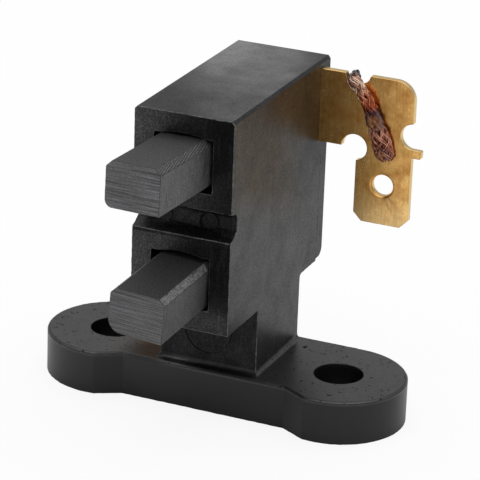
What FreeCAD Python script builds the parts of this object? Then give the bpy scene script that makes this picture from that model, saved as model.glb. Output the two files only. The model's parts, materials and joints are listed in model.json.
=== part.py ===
"""Carbon brush holder of a small generator: two sprung brushes in one moulded holder.

Millimetres. X runs along the foot's two holes, Y to the rear, Z up. The origin is on the
foot's underside, halfway between the holes. The brushes point to the front, along -Y.
"""
import FreeCAD, Part
import math
import os

from FreeCAD import Placement, Rotation, Vector

# Mounting foot
HOLE_SPACING = 26.4
HOLE_RADIUS = 2.65
LOBE_RADIUS = 7.4
FOOT_THICKNESS = 4.85
FOOT_EDGE_CHAMFER = 0.2
WAIST_RECESS = 1.6
WAIST_FROM_HOLE = 3.8
WAIST_SLANT_DEG = 29.0
WAIST_INNER_ROUND = 0.5
WAIST_OUTER_ROUND = 0.8

# Neck between foot and brush block, which share one width
BLOCK_WIDTH = 11.1
NECK_HEIGHT = 7.4
NECK_FRONT = -4.55
NECK_DEPTH = 11.45
NECK_FOOT_FILLET = 0.55
NECK_REAR_FILLET = 0.5

# Brush block
BLOCK_FRONT = -12.45
BLOCK_DEPTH = 23.8
BLOCK_TOP_CHAMFER = 0.3

# Groove across the front, between the two brush boxes
GROOVE_BELOW_MIDDLE = 1.4
GROOVE_ABOVE_MIDDLE = 1.7
GROOVE_DEPTH = 1.5
GROOVE_ROOF_DROP = 0.35
GROOVE_RAMP_RUN = 0.8
GROOVE_RAMP_RISE = 0.9
GROOVE_LIP_RISE = 0.3
GROOVE_ROUND = 0.75

# Ejector marks left by the mould, raised off the surface
MARK_HEIGHT = 0.15
NECK_MARK_RADIUS = 2.6
NECK_MARK_ABOVE_FOOT = 4.15
GROOVE_MARK_RADIUS = 0.9
GROOVE_MARK_SPREAD = 5.2
GROOVE_MARK_ABOVE_MIDDLE = 0.1

# Brushes
BRUSH_WIDTH = 6.0
BRUSH_HEIGHT = 4.9
BRUSH_LENGTH = 18.5
BRUSH_EDGE_CHAMFER = 0.65
BRUSH_LEAST_PROUD = 1.5
UPPER_BRUSH_PROUD = 10.9
UPPER_BRUSH_WORN_ROUND = 0.8
LOWER_BRUSH_PROUD = 10.3
LOWER_BRUSH_WORN_ROUND = 1.5

# Brush boxes, each as large as its brush and its play
PLAY_WIDTH = 0.6
PLAY_HEIGHT = 0.85
RUNNING_CLEARANCE = 0.04
BORE_CENTRE_X = -0.05
BORE_PITCH = 12.8
BORE_WALL = 2.35
BORE_CORNER_ROUND = 0.2
ROOF_CHANNEL_WIDTH = 4.8
ROOF_CHANNEL_RISE = 0.3

# How each brush sits in its play. A roll is a share of the most that the box allows. The
# others are shares of half the play that is left, sideways and upward: at the box's mouth,
# and at the tail once the brush is pushed right in.
UPPER_ROLL_SHARE = 0.08
UPPER_SHARES_AT_MOUTH = (-0.6, 1.0)
UPPER_SHARES_AT_TAIL = (1.0, -0.55)
LOWER_ROLL_SHARE = 0.7
LOWER_SHARES_AT_MOUTH = (-0.2, 0.0)
LOWER_SHARES_AT_TAIL = (-1.0, 1.0)

# Springs
SPRING_DIAMETER = 4.7
SPRING_WIRE = 0.4
SPRING_WIRE_SIDES = 6
SPRING_TURNS = 6.0
SPRING_END_GAP = 0.05

# Brass terminals, each with a 6.3 mm blade
TERMINAL_THICKNESS = 0.8
TERMINAL_INNER_REACH = 4.3
TERMINAL_ABOVE_BORE = 4.4
TERMINAL_BELOW_BORE = 3.8
BLADE_WIDTH = 6.3
UPPER_BLADE_FROM_BLOCK = 4.35
LOWER_BLADE_FROM_BLOCK = 3.6
BLADE_BELOW_BORE = 12.05
BLADE_CHAMFER = 0.95
BLADE_HOLE_RADIUS = 1.18
BLADE_HOLE_ABOVE_END = 4.42
BLADE_DIMPLE_RADIUS = 1.35
BLADE_DIMPLE_DEPTH = 0.25
HEAD_CORNER_ROUND = 2.2
NOTCH_RADIUS = 1.45
INNER_NOTCH_INSET = 0.25
OUTER_NOTCH_OVERHANG = 0.1
OUTER_NOTCH_BELOW_BORE = 1.6
TOP_NOTCH_INSET = 0.2
TOP_NOTCH_ABOVE_EDGE = 0.3
STUB_HEIGHT = 0.9
STUB_END_ROUND = 0.2
UPPER_STUB_LENGTH = 1.05
LOWER_STUB_LENGTH = 0.25
SEAT_CLEARANCE = 0.05
LEAD_HOLE_RADIUS = 1.0

# Rear cover
COVER_THICKNESS = 1.9
COVER_LOWER_ROUND = 1.3
COVER_UPPER_ROUND = 0.4
PEG_RADIUS = 0.8
PEG_LENGTH = 1.6
PEG_SPREAD = 7.0
PEG_ABOVE_MIDDLE = 0.2

# Copper braid leads. Points are (X from the blade's inner edge, level over the bore's axis).
BRAID_RADIUS = 0.7
BRAID_SIDES = 12
BRAID_CLEARANCE = 0.05
BRAID_NOTCH_CLEARANCE = 0.15
BRAID_HOLE_BEND = 1.3
BRAID_RISE_BEND = 3.6
BRAID_NOTCH_BEND = 1.1
BRAID_FRONT_BEND = 8.0
BRAID_RISE_POINT = (-2.8, 1.2)
BRAID_NOTCH_LEAD_IN = 0.3
BRAID_FRONT_POINT = (1.2, 1.85)
BRAID_END_POINT = (2.0, -0.3)

# Flattened end of the braid, welded to the terminal
WELD_THICKNESS = 0.75
WELD_ROUND = 0.35
WELD_CORNERS = (
    (0.7, 1.0),
    (0.95, -0.9),
    (1.85, -2.5),
    (2.1, -3.6),
    (3.2, -4.65),
    (4.55, -4.65),
    (4.75, -3.0),
    (3.6, -0.9),
    (2.75, 1.1),
)

# Sizes that follow from the driving dimensions
HALF_WIDTH = BLOCK_WIDTH / 2
NECK_REAR = NECK_FRONT + NECK_DEPTH
WAIST_HALF_LENGTH = HOLE_SPACING / 2 - WAIST_FROM_HOLE
WAIST_DEPTH = LOBE_RADIUS - WAIST_RECESS
BORE_WIDTH = BRUSH_WIDTH + PLAY_WIDTH
BORE_HEIGHT = BRUSH_HEIGHT + PLAY_HEIGHT
BLOCK_BOTTOM = FOOT_THICKNESS + NECK_HEIGHT
BLOCK_REAR = BLOCK_FRONT + BLOCK_DEPTH
LOWER_BORE_LEVEL = BLOCK_BOTTOM + BORE_WALL + BORE_HEIGHT / 2
UPPER_BORE_LEVEL = LOWER_BORE_LEVEL + BORE_PITCH
MIDDLE_LEVEL = LOWER_BORE_LEVEL + BORE_PITCH / 2
BLOCK_TOP = UPPER_BORE_LEVEL + BORE_HEIGHT / 2 + BORE_WALL
GROOVE_LOW = MIDDLE_LEVEL - GROOVE_BELOW_MIDDLE
GROOVE_HIGH = MIDDLE_LEVEL + GROOVE_ABOVE_MIDDLE
TERMINAL_FRONT = BLOCK_REAR - TERMINAL_THICKNESS
UPPER_BLADE_START = HALF_WIDTH + UPPER_BLADE_FROM_BLOCK
LOWER_BLADE_START = HALF_WIDTH + LOWER_BLADE_FROM_BLOCK
COVER_REAR = BLOCK_REAR + COVER_THICKNESS
BRAID_BEHIND = BLOCK_REAR + BRAID_RADIUS + BRAID_CLEARANCE
BRAID_AHEAD = TERMINAL_FRONT - BRAID_RADIUS - BRAID_CLEARANCE
NOTCH_FLOOR = TERMINAL_ABOVE_BORE + TOP_NOTCH_ABOVE_EDGE - NOTCH_RADIUS
OVERLAP = 0.5
EDGE_MARGIN = 0.02


def rounded_wire(corners, place):
    """Closed wire of straight edges and tangent arcs; each corner is (a, b, radius)."""
    count = len(corners)
    pieces = []
    for index in range(count):
        before = Vector(*corners[index - 1][:2], 0)
        corner = Vector(*corners[index][:2], 0)
        after = Vector(*corners[(index + 1) % count][:2], 0)
        pieces.append(corner_pieces(before, corner, after, corners[index][2]))
    edges = []
    for index in range(count):
        arc = pieces[index]
        following = pieces[(index + 1) % count]
        if len(arc) == 3:
            edges.append(Part.Arc(*[place(point) for point in arc]).toShape())
        if (following[0] - arc[-1]).Length > 1e-6:
            edges.append(Part.LineSegment(place(arc[-1]), place(following[0])).toShape())
    return Part.Wire(edges)


def corner_pieces(before, corner, after, radius):
    """The corner itself, or the start, middle and end of the arc that rounds it."""
    if radius <= 0:
        return [corner]
    inward = (before - corner).normalize()
    outward = (after - corner).normalize()
    half_angle = inward.getAngle(outward) / 2
    reach = radius / math.tan(half_angle)
    bisector = (inward + outward).normalize()
    middle = corner + bisector * (radius / math.sin(half_angle) - radius)
    return [corner + inward * reach, middle, corner + outward * reach]


def prism(corners, axis, start, length):
    """Solid with a rounded outline, drawn across an axis and pulled along it."""
    places = {
        "X": lambda point: Vector(start, point.x, point.y),
        "Y": lambda point: Vector(point.x, start, point.y),
        "Z": lambda point: Vector(point.x, point.y, start),
    }
    pull = {"X": Vector(length, 0, 0), "Y": Vector(0, length, 0), "Z": Vector(0, 0, length)}
    return Part.Face(rounded_wire(corners, places[axis])).extrude(pull[axis])


def rectangle(low_a, high_a, low_b, high_b, radius=0.0):
    """Corners of a rectangle, all with one corner radius."""
    return [
        (low_a, low_b, radius),
        (high_a, low_b, radius),
        (high_a, high_b, radius),
        (low_a, high_b, radius),
    ]


def disc(centre, radius, axis, length):
    """Cylinder from a centre, along an axis vector."""
    return Part.makeCylinder(radius, length, centre, axis)


def ring_section(centre, direction, radius, sides):
    """Closed wire of equal sides round a direction, as the section of wire or braid."""
    across = Vector(0, 0, 1).cross(direction).normalize()
    upward = direction.cross(across).normalize()
    corners = []
    for index in range(sides + 1):
        angle = math.tau * index / sides
        corners.append(centre + across * (radius * math.cos(angle)) + upward * (radius * math.sin(angle)))
    return Part.makePolygon(corners)


def mirrored(shape):
    """The same shape on the other side of the holder's middle plane."""
    return shape.mirror(Vector(0, 0, 0), Vector(1, 0, 0))


def edges_where(shape, test):
    """Edges of a shape whose bounding box passes a test."""
    return [edge for edge in shape.Edges if test(edge.BoundBox)]


def slant_end():
    """Where the slanted front edge of the foot, on the right, runs into the lobe's circle."""
    slant = math.radians(WAIST_SLANT_DEG)
    start = Vector(WAIST_HALF_LENGTH, -WAIST_DEPTH, 0)
    along = Vector(math.cos(slant), -math.sin(slant), 0)
    from_centre = start - Vector(HOLE_SPACING / 2, 0, 0)
    half_term = from_centre.dot(along)
    run = -half_term + math.sqrt(half_term ** 2 - from_centre.dot(from_centre) + LOBE_RADIUS ** 2)
    return start + along * run


def foot_outline():
    """Foot outline: a lobe at each end, a straight rear edge and a waisted front edge."""
    lobe_x = HOLE_SPACING / 2
    right_end = slant_end()
    left_end = Vector(-right_end.x, right_end.y, 0)
    rear_right = Vector(lobe_x, LOBE_RADIUS, 0)
    rear_left = Vector(-lobe_x, LOBE_RADIUS, 0)
    waist_left = Vector(-WAIST_HALF_LENGTH, -WAIST_DEPTH, 0)
    waist_right = Vector(WAIST_HALF_LENGTH, -WAIST_DEPTH, 0)
    edges = [
        Part.Arc(right_end, Vector(lobe_x + LOBE_RADIUS, 0, 0), rear_right),
        Part.LineSegment(rear_right, rear_left),
        Part.Arc(rear_left, Vector(-lobe_x - LOBE_RADIUS, 0, 0), left_end),
        Part.LineSegment(left_end, waist_left),
        Part.LineSegment(waist_left, waist_right),
        Part.LineSegment(waist_right, right_end),
    ]
    return Part.Wire([edge.toShape() for edge in edges])


def foot():
    """Two-lobed flange with rounded kinks in its front edge and a broken top edge."""
    flange = Part.Face(foot_outline()).extrude(Vector(0, 0, FOOT_THICKNESS))

    def upright_at(x, y):
        def test(box):
            upright = box.ZLength > FOOT_THICKNESS - EDGE_MARGIN
            near = abs(abs(box.XMin) - x) < EDGE_MARGIN and abs(box.YMin - y) < EDGE_MARGIN
            return upright and near
        return test

    inner_kinks = edges_where(flange, upright_at(WAIST_HALF_LENGTH, -WAIST_DEPTH))
    flange = flange.makeFillet(WAIST_INNER_ROUND, inner_kinks)
    end = slant_end()
    flange = flange.makeFillet(WAIST_OUTER_ROUND, edges_where(flange, upright_at(end.x, end.y)))
    rim = edges_where(flange, lambda box: box.ZMin > FOOT_THICKNESS - EDGE_MARGIN)
    return flange.makeChamfer(FOOT_EDGE_CHAMFER, rim)


def neck_and_block():
    """Side profile of neck, block and front groove, pulled across the width."""
    groove_floor = BLOCK_FRONT + GROOVE_DEPTH
    profile = [
        (NECK_FRONT, 0, 0),
        (NECK_REAR, 0, 0),
        (NECK_REAR, BLOCK_BOTTOM, NECK_REAR_FILLET),
        (BLOCK_REAR, BLOCK_BOTTOM, 0),
        (BLOCK_REAR, BLOCK_TOP, 0),
        (BLOCK_FRONT, BLOCK_TOP, 0),
        (BLOCK_FRONT, GROOVE_HIGH, 0),
        (groove_floor, GROOVE_HIGH - GROOVE_ROOF_DROP, GROOVE_ROUND),
        (groove_floor, GROOVE_LOW + GROOVE_RAMP_RISE, 0),
        (groove_floor - GROOVE_RAMP_RUN, GROOVE_LOW + GROOVE_LIP_RISE, 0),
        (BLOCK_FRONT, GROOVE_LOW, 0),
        (BLOCK_FRONT, BLOCK_BOTTOM, 0),
        (NECK_FRONT, BLOCK_BOTTOM, 0),
    ]
    solid = prism(profile, "X", -HALF_WIDTH, BLOCK_WIDTH)
    return solid.makeChamfer(BLOCK_TOP_CHAMFER, top_side_edges(solid))


def top_side_edges(solid):
    """The two long edges where a side meets the top."""
    def on_top_side(box):
        return box.ZMin > BLOCK_TOP - 0.01 and box.XLength < 0.01
    return edges_where(solid, on_top_side)


def neck_foot_fillet():
    """Fillet round the front and sides of the neck where it stands on the foot."""
    reach = NECK_FOOT_FILLET + EDGE_MARGIN
    bottom = FOOT_THICKNESS - OVERLAP
    collar = prism(
        rectangle(-HALF_WIDTH, HALF_WIDTH, NECK_FRONT, NECK_REAR), "Z", bottom, OVERLAP + reach
    )
    skirt = prism(
        rectangle(-HALF_WIDTH - reach, HALF_WIDTH + reach, NECK_FRONT - reach, NECK_REAR),
        "Z",
        bottom,
        OVERLAP,
    )
    foot_ring = collar.fuse(skirt).removeSplitter()

    def at_the_corner(box):
        level = abs(box.ZMin - FOOT_THICKNESS) < EDGE_MARGIN and box.ZLength < EDGE_MARGIN
        across = abs(box.YMin - NECK_FRONT) < EDGE_MARGIN and box.YLength < EDGE_MARGIN
        along = abs(abs(box.XMin) - HALF_WIDTH) < EDGE_MARGIN and box.XLength < EDGE_MARGIN
        return level and (across or along)

    return foot_ring.makeFillet(NECK_FOOT_FILLET, edges_where(foot_ring, at_the_corner))


def ejector_marks():
    """Round raised marks on the neck's front and on the groove's floor."""
    forward = Vector(0, -1, 0)
    length = MARK_HEIGHT + OVERLAP
    groove_floor = BLOCK_FRONT + GROOVE_DEPTH
    neck_centre = Vector(0, NECK_FRONT + OVERLAP, FOOT_THICKNESS + NECK_MARK_ABOVE_FOOT)
    groove_level = MIDDLE_LEVEL + GROOVE_MARK_ABOVE_MIDDLE
    marks = [disc(neck_centre, NECK_MARK_RADIUS, forward, length)]
    for side in (-1, 1):
        centre = Vector(side * GROOVE_MARK_SPREAD / 2, groove_floor + OVERLAP, groove_level)
        marks.append(disc(centre, GROOVE_MARK_RADIUS, forward, length))
    return marks


def bore(level):
    """Brush box through the block, with a shallow channel along its roof."""
    half_width = BORE_WIDTH / 2
    half_height = BORE_HEIGHT / 2
    start = BLOCK_FRONT - OVERLAP
    length = BLOCK_DEPTH - TERMINAL_THICKNESS + 2 * OVERLAP
    section = rectangle(
        BORE_CENTRE_X - half_width,
        BORE_CENTRE_X + half_width,
        level - half_height,
        level + half_height,
        BORE_CORNER_ROUND,
    )
    channel_radius = (ROOF_CHANNEL_WIDTH ** 2 / 4 + ROOF_CHANNEL_RISE ** 2) / (2 * ROOF_CHANNEL_RISE)
    channel_centre = level + half_height + ROOF_CHANNEL_RISE - channel_radius
    channel = disc(
        Vector(BORE_CENTRE_X, start, channel_centre), channel_radius, Vector(0, 1, 0), length
    )
    above_middle = prism(
        rectangle(
            BORE_CENTRE_X - half_width,
            BORE_CENTRE_X + half_width,
            level,
            level + half_height + ROOF_CHANNEL_RISE,
        ),
        "Y",
        start,
        length,
    )
    return prism(section, "Y", start, length).fuse(channel.common(above_middle))


def terminal_pocket(level):
    """Recess in the block's rear face that seats a terminal, open at the right side."""
    recess = rectangle(
        -TERMINAL_INNER_REACH - SEAT_CLEARANCE,
        HALF_WIDTH + OVERLAP,
        level - TERMINAL_BELOW_BORE - SEAT_CLEARANCE,
        level + TERMINAL_ABOVE_BORE + SEAT_CLEARANCE,
    )
    return prism(recess, "Y", TERMINAL_FRONT, TERMINAL_THICKNESS + OVERLAP)


def peg(side, clearance):
    """Locating peg of the cover, or its hole when it is given a clearance."""
    start = Vector(side * PEG_SPREAD / 2, BLOCK_REAR + OVERLAP, MIDDLE_LEVEL + PEG_ABOVE_MIDDLE)
    length = PEG_LENGTH + OVERLAP + clearance
    return disc(start, PEG_RADIUS + clearance, Vector(0, -1, 0), length)


def holder_body():
    """The moulding: foot, neck and block, with everything that is cut in it."""
    body = foot().fuse([neck_and_block(), neck_foot_fillet()] + ejector_marks())
    cuts = [bore(LOWER_BORE_LEVEL), bore(UPPER_BORE_LEVEL)]
    cuts.append(terminal_pocket(UPPER_BORE_LEVEL))
    cuts.append(mirrored(terminal_pocket(LOWER_BORE_LEVEL)))
    for side in (-1, 1):
        hole_centre = Vector(side * HOLE_SPACING / 2, 0, -OVERLAP)
        cuts.append(disc(hole_centre, HOLE_RADIUS, Vector(0, 0, 1), FOOT_THICKNESS + 2 * OVERLAP))
        cuts.append(peg(side, SEAT_CLEARANCE))
    return body.cut(cuts).removeSplitter()


def lead_channel(blade_start):
    """Channel in the cover that takes a braid from its bore out to the side of its blade."""
    run = Vector(blade_start + BRAID_RISE_POINT[0], 0, BRAID_RISE_POINT[1])
    slope_deg = math.degrees(math.atan2(run.z, run.x))
    half = BRAID_RADIUS + BRAID_CLEARANCE
    depth = 2 * half
    channel = prism(rectangle(-half, run.Length, -half, half), "Y", BLOCK_REAR - OVERLAP, depth + OVERLAP)
    channel.rotate(Vector(0, 0, 0), Vector(0, -1, 0), slope_deg)
    round_end = disc(Vector(0, BLOCK_REAR - OVERLAP, 0), LEAD_HOLE_RADIUS, Vector(0, 1, 0), depth + OVERLAP)
    return channel.fuse(round_end)


def rear_cover():
    """Plate that closes the block's rear and clamps both terminals."""
    profile = [
        (BLOCK_REAR, BLOCK_BOTTOM, 0),
        (COVER_REAR, BLOCK_BOTTOM, COVER_LOWER_ROUND),
        (COVER_REAR, BLOCK_TOP, COVER_UPPER_ROUND),
        (BLOCK_REAR, BLOCK_TOP, 0),
    ]
    plate = prism(profile, "X", -HALF_WIDTH, BLOCK_WIDTH)
    plate = plate.makeChamfer(BLOCK_TOP_CHAMFER, top_side_edges(plate))
    plate = plate.fuse([peg(-1, 0), peg(1, 0)])
    upper_channel = lead_channel(UPPER_BLADE_START)
    upper_channel.translate(Vector(0, 0, UPPER_BORE_LEVEL))
    lower_channel = lead_channel(LOWER_BLADE_START)
    lower_channel.translate(Vector(0, 0, LOWER_BORE_LEVEL))
    return plate.cut([upper_channel, mirrored(lower_channel)]).removeSplitter()


def brush_section(worn_round):
    """Brush cross-section: two chamfered top edges, one worn round, one sharp."""
    half_width = BRUSH_WIDTH / 2
    half_height = BRUSH_HEIGHT / 2
    return [
        (-half_width, -half_height, worn_round),
        (half_width, -half_height, 0),
        (half_width, half_height - BRUSH_EDGE_CHAMFER, 0),
        (half_width - BRUSH_EDGE_CHAMFER, half_height, 0),
        (-half_width + BRUSH_EDGE_CHAMFER, half_height, 0),
        (-half_width, half_height - BRUSH_EDGE_CHAMFER, 0),
    ]


def full_roll():
    """The most that a brush can roll in its box, in radians."""
    by_width = (PLAY_WIDTH - 2 * RUNNING_CLEARANCE) / BRUSH_HEIGHT
    by_height = (PLAY_HEIGHT - 2 * RUNNING_CLEARANCE) / (BRUSH_WIDTH - BRUSH_EDGE_CHAMFER)
    return min(by_width, by_height)


def half_play(roll):
    """Half of what a rolled brush leaves free in its box, sideways and upward."""
    across = BRUSH_WIDTH * math.cos(roll) + BRUSH_HEIGHT * math.sin(roll)
    upward = BRUSH_HEIGHT * math.cos(roll) + (BRUSH_WIDTH - BRUSH_EDGE_CHAMFER) * math.sin(roll)
    sideways_play = (BORE_WIDTH - across) / 2 - RUNNING_CLEARANCE
    upward_play = (BORE_HEIGHT - upward) / 2 - RUNNING_CLEARANCE
    return max(sideways_play, 0), max(upward_play, 0)


def brush_line(level, roll, at_mouth, at_tail):
    """Where a brush's axis crosses its box's mouth, and its direction into the box."""
    sideways, upward = half_play(roll)
    guided_length = BRUSH_LENGTH - BRUSH_LEAST_PROUD
    mouth = Vector(BORE_CENTRE_X + at_mouth[0] * sideways, BLOCK_FRONT, level + at_mouth[1] * upward)
    shift_x = (at_tail[0] - at_mouth[0]) * sideways
    shift_z = (at_tail[1] - at_mouth[1]) * upward
    return mouth, Vector(shift_x, guided_length, shift_z).normalize()


def brush(line, proud, roll, worn_round):
    """Brush at rest, pushed out by its spring and cocked within its box's play."""
    mouth, inward = line
    block = prism(brush_section(worn_round), "Y", -proud, BRUSH_LENGTH)
    block.rotate(Vector(0, 0, 0), Vector(0, 1, 0), math.degrees(roll))
    turn = Rotation(Vector(0, 1, 0), inward)
    return block.transformGeometry(Placement(mouth, turn).toMatrix())


def spring(level, tail, inward):
    """Compression spring between a brush's tail and its terminal."""
    tilt = math.hypot(inward.x, inward.z)
    start = tail.y + SPRING_DIAMETER / 2 * tilt + SPRING_END_GAP + SPRING_WIRE / 2
    end = TERMINAL_FRONT - SPRING_END_GAP - SPRING_WIRE / 2
    coil_radius = (SPRING_DIAMETER - SPRING_WIRE) / 2
    height = end - start
    helix = Part.makeHelix(height / SPRING_TURNS, height, coil_radius)
    section = ring_section(Vector(coil_radius, 0, 0), Vector(0, 1, 0), SPRING_WIRE / 2, SPRING_WIRE_SIDES)
    coil = Part.Wire(helix).makePipeShell([section], True, True)
    coil.rotate(Vector(0, 0, 0), Vector(1, 0, 0), -90)
    coil.translate(Vector(BORE_CENTRE_X, start, level))
    return coil


def terminal(blade_start, stub_length):
    """Stamped terminal about its bore's axis: head, blade, notches and holes."""
    blade_low = -BLADE_BELOW_BORE
    blade_end = blade_start + BLADE_WIDTH
    outline = [
        (-TERMINAL_INNER_REACH, -TERMINAL_BELOW_BORE, 0),
        (blade_start, -TERMINAL_BELOW_BORE, 0),
        (blade_start, blade_low + BLADE_CHAMFER, 0),
        (blade_start + BLADE_CHAMFER, blade_low, 0),
        (blade_end - BLADE_CHAMFER, blade_low, 0),
        (blade_end, blade_low + BLADE_CHAMFER, 0),
        (blade_end, TERMINAL_ABOVE_BORE, HEAD_CORNER_ROUND),
        (-TERMINAL_INNER_REACH, TERMINAL_ABOVE_BORE, 0),
    ]
    sheet = prism(outline, "Y", TERMINAL_FRONT, TERMINAL_THICKNESS)
    stub_top = -OUTER_NOTCH_BELOW_BORE - NOTCH_RADIUS
    stub = prism(
        rectangle(
            blade_end - OVERLAP,
            blade_end + stub_length,
            stub_top - STUB_HEIGHT,
            stub_top,
            STUB_END_ROUND,
        ),
        "Y",
        TERMINAL_FRONT,
        TERMINAL_THICKNESS,
    )
    rearward = Vector(0, 1, 0)
    start = TERMINAL_FRONT - OVERLAP
    through = TERMINAL_THICKNESS + 2 * OVERLAP
    hole_level = blade_low + BLADE_HOLE_ABOVE_END
    hole_x = blade_start + BLADE_WIDTH / 2
    punches = [
        disc(
            Vector(blade_start - INNER_NOTCH_INSET, start, -TERMINAL_BELOW_BORE),
            NOTCH_RADIUS,
            rearward,
            through,
        ),
        disc(
            Vector(blade_end + OUTER_NOTCH_OVERHANG, start, -OUTER_NOTCH_BELOW_BORE),
            NOTCH_RADIUS,
            rearward,
            through,
        ),
        disc(
            Vector(
                blade_start - TOP_NOTCH_INSET, start, TERMINAL_ABOVE_BORE + TOP_NOTCH_ABOVE_EDGE
            ),
            NOTCH_RADIUS,
            rearward,
            through,
        ),
        disc(Vector(hole_x, start, hole_level), BLADE_HOLE_RADIUS, rearward, through),
        disc(Vector(0, start, 0), LEAD_HOLE_RADIUS, rearward, through),
        Part.makeCone(
            BLADE_DIMPLE_RADIUS,
            BLADE_HOLE_RADIUS,
            BLADE_DIMPLE_DEPTH,
            Vector(hole_x, TERMINAL_FRONT, hole_level),
            rearward,
        ),
    ]
    return sheet.fuse(stub).cut(punches).removeSplitter()


def braid_route(tail, blade_start):
    """Braid route from a brush's tail to the weld, as (point, bend radius).

    It runs through the spring and the terminal's hole, turns into the cover's channel,
    rises behind the terminal, folds over the top notch and comes down in front.
    """
    over_notch = NOTCH_FLOOR + BRAID_RADIUS + BRAID_NOTCH_CLEARANCE
    in_the_weld = TERMINAL_FRONT - WELD_THICKNESS / 2
    notch_x = blade_start - TOP_NOTCH_INSET
    return [
        (tail, 0),
        (Vector(0, BRAID_BEHIND, 0), BRAID_HOLE_BEND),
        (Vector(blade_start + BRAID_RISE_POINT[0], BRAID_BEHIND, BRAID_RISE_POINT[1]), BRAID_RISE_BEND),
        (Vector(notch_x - BRAID_NOTCH_LEAD_IN, BRAID_BEHIND, over_notch), BRAID_NOTCH_BEND),
        (Vector(notch_x, BRAID_AHEAD, over_notch), BRAID_NOTCH_BEND),
        (Vector(blade_start + BRAID_FRONT_POINT[0], BRAID_AHEAD, BRAID_FRONT_POINT[1]), BRAID_FRONT_BEND),
        (Vector(blade_start + BRAID_END_POINT[0], in_the_weld, BRAID_END_POINT[1]), 0),
    ]


def bent_path(stations):
    """Straight runs joined by tangent arcs."""
    edges = []
    end = stations[0][0]
    for index in range(1, len(stations) - 1):
        before = stations[index - 1][0]
        corner, radius = stations[index]
        after = stations[index + 1][0]
        arc = corner_pieces(before, corner, after, radius)
        edges.append(Part.LineSegment(end, arc[0]).toShape())
        edges.append(Part.Arc(*arc).toShape())
        end = arc[2]
    edges.append(Part.LineSegment(end, stations[-1][0]).toShape())
    return Part.Wire(edges)


def welded_end(blade_start):
    """Flattened end of the braid, against the terminal's front face."""
    corners = [(blade_start + x, level, WELD_ROUND) for x, level in WELD_CORNERS]
    return prism(corners, "Y", TERMINAL_FRONT - WELD_THICKNESS, WELD_THICKNESS)


def pigtail(tail, blade_start):
    """One copper braid, whole, from its brush to its welded end."""
    stations = braid_route(tail, blade_start)
    path = bent_path(stations)
    section = ring_section(tail, stations[1][0] - tail, BRAID_RADIUS, BRAID_SIDES)
    rope = path.makePipeShell([section], True, False)
    expected = Part.Face(section).Area * path.Length
    print("braid length", round(path.Length, 2), "bend radii", [radius for point, radius in stations[1:-1]])
    print("braid volume", round(rope.Volume, 3), "section by length", round(expected, 3))
    sheet = Part.makeBox(
        BLADE_WIDTH,
        TERMINAL_THICKNESS,
        NOTCH_FLOOR + TERMINAL_BELOW_BORE,
        Vector(blade_start, TERMINAL_FRONT, -TERMINAL_BELOW_BORE),
    )
    return rope.cut(sheet).fuse(welded_end(blade_start)).removeSplitter()


def save(name, shape):
    """Writes one piece to its own file and prints what it holds."""
    shape.exportStep(os.path.join("parts", name + ".step"))
    print(name, "solids", len(shape.Solids), "valid", shape.isValid(), "volume", round(shape.Volume, 2))


def save_brush_set(name, side, level, proud, worn_round, seat, blade_start, stub_length):
    """One brush with its spring, terminal and braid; the side is that of its blade."""
    roll_share, at_mouth, at_tail = seat
    roll = roll_share * full_roll()
    line = brush_line(level, roll, at_mouth, at_tail)
    tail = line[0] + line[1] * (BRUSH_LENGTH - proud)
    braid_start = tail + line[1] * EDGE_MARGIN
    save(name + "_brush", brush(line, proud, roll, worn_round))
    save(name + "_spring", spring(level, tail, line[1]))
    metalwork = {
        "_terminal": terminal(blade_start, stub_length),
        "_pigtail": pigtail(
            Vector(side * braid_start.x, braid_start.y, braid_start.z - level), blade_start
        ),
    }
    for ending, shape in metalwork.items():
        turned = shape if side > 0 else mirrored(shape)
        turned.translate(Vector(0, 0, level))
        save(name + ending, turned)


def main():
    os.makedirs("parts", exist_ok=True)
    save("holder_body", holder_body())
    save("rear_cover", rear_cover())
    upper_seat = (UPPER_ROLL_SHARE, UPPER_SHARES_AT_MOUTH, UPPER_SHARES_AT_TAIL)
    lower_seat = (LOWER_ROLL_SHARE, LOWER_SHARES_AT_MOUTH, LOWER_SHARES_AT_TAIL)
    save_brush_set(
        "upper",
        1,
        UPPER_BORE_LEVEL,
        UPPER_BRUSH_PROUD,
        UPPER_BRUSH_WORN_ROUND,
        upper_seat,
        UPPER_BLADE_START,
        UPPER_STUB_LENGTH,
    )
    save_brush_set(
        "lower",
        -1,
        LOWER_BORE_LEVEL,
        LOWER_BRUSH_PROUD,
        LOWER_BRUSH_WORN_ROUND,
        lower_seat,
        LOWER_BLADE_START,
        LOWER_STUB_LENGTH,
    )


main()
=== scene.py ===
"""Carbon brush holder of a small generator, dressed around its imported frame."""

import json
import math
import random
from functools import partial

import bmesh
import bpy
from mathutils import Matrix, Quaternion, Vector, noise
from mathutils.kdtree import KDTree


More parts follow.
